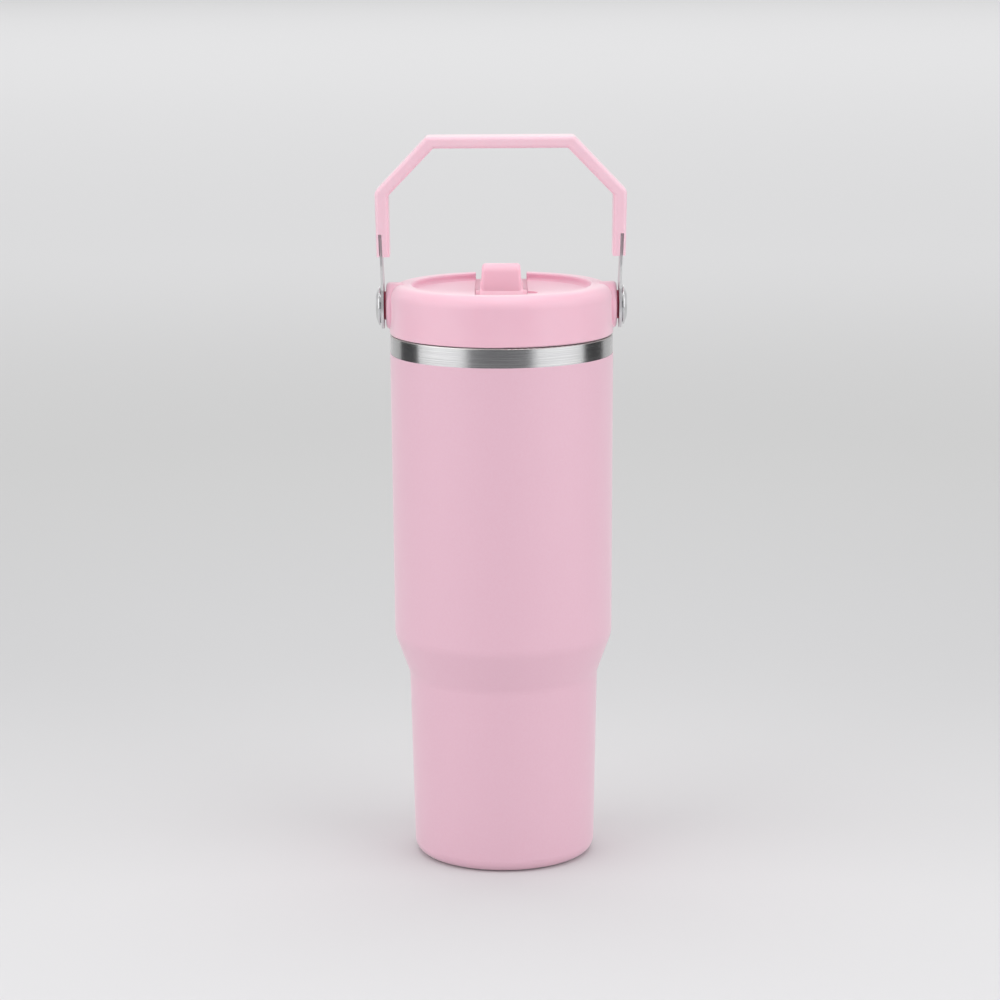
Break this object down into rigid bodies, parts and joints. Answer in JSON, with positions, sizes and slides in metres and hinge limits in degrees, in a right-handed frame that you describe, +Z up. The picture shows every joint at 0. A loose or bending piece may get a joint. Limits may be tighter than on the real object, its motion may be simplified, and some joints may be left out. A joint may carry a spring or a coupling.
{
  "type": "insulated tumbler with lid",
  "caption": "Double-walled steel tumbler with a tapered lower body, screw lid, flip-up drinking spout with straw, and a swinging bail handle.",
  "frame": {"origin": "centre of the circle on which the foot ring stands, on the ground plane", "axes": "+Z up along the vessel's axis; +X along the handle's pivot axis, to the right as the folded spout points away; +Y towards the folded spout's tip"},
  "size_m": [0.101, 0.0902, 0.2958],
  "materials": {
    "shell_steel": "pink powder coat, fine texture; bare brushed steel on the band at the mouth",
    "liner_steel": "electropolished stainless steel",
    "base_steel": "brushed stainless steel",
    "seal_glass": "solder glass",
    "getter_metal": "sintered pill",
    "lid_plastic": "moulded polypropylene, satin",
    "plug_plastic": "moulded polypropylene, satin",
    "spout_plastic": "moulded polypropylene, satin",
    "silicone": "milky silicone",
    "straw_plastic": "milky polypropylene tube",
    "grip_plastic": "moulded polypropylene, satin",
    "arm_steel": "stamped stainless strip",
    "dome_steel": "polished stainless steel",
    "brass": "turned and knurled",
    "nylon": "moulded nylon"
  },
  "bodies": {
    "vessel": {"outer_shell": "shell_steel", "inner_liner": "liner_steel", "liner_cup": "liner_steel", "base_plate": "base_steel", "vacuum_seal": "seal_glass", "base_cover": "base_steel", "getter_cup": "base_steel", "getter": "getter_metal"},
    "lid_gasket": {"lid_gasket": "silicone"},
    "lid": {"lid_cover": "lid_plastic", "lid_plug": "plug_plastic", "straw_stem": "plug_plastic", "vent_cap": "silicone", "spout_seal": "silicone", "straw": "straw_plastic", "pivot_insert_left": "brass", "pivot_insert_right": "brass", "pivot_spacer_left": "nylon", "pivot_spacer_right": "nylon", "cup_washer_left": "dome_steel", "cup_washer_right": "dome_steel", "pivot_screw_left": "dome_steel", "pivot_screw_right": "dome_steel"},
    "spout": {"spout": "spout_plastic"},
    "handle": {"handle_arm_left": "arm_steel", "handle_arm_right": "arm_steel", "handle_grip": "grip_plastic"}
  },
  "joints": [
    {"name": "lid_rise", "type": "slide", "parent": "vessel", "child": "lid_gasket", "axis": [0, 0, 1], "range_m": [0, 0.01001]},
    {"name": "lid_twist", "type": "hinge", "parent": "lid_gasket", "child": "lid", "pos_m": [0, 0, 0.2165], "axis": [0, 0, 1], "range_deg": [0, 450]},
    {"name": "spout_flip", "type": "hinge", "parent": "lid", "child": "spout", "pos_m": [0, 0, 0.2288], "axis": [1, 0, 0], "range_deg": [0, 90]},
    {"name": "handle_swing", "type": "hinge", "parent": "lid", "child": "handle", "pos_m": [0, 0, 0.22765], "axis": [1, 0, 0], "range_deg": [-125, 125]}
  ],
  "couplings": [
    {"joint": "lid_rise", "follows": "lid_twist", "m_per_rad": 0.0012732}
  ]
}
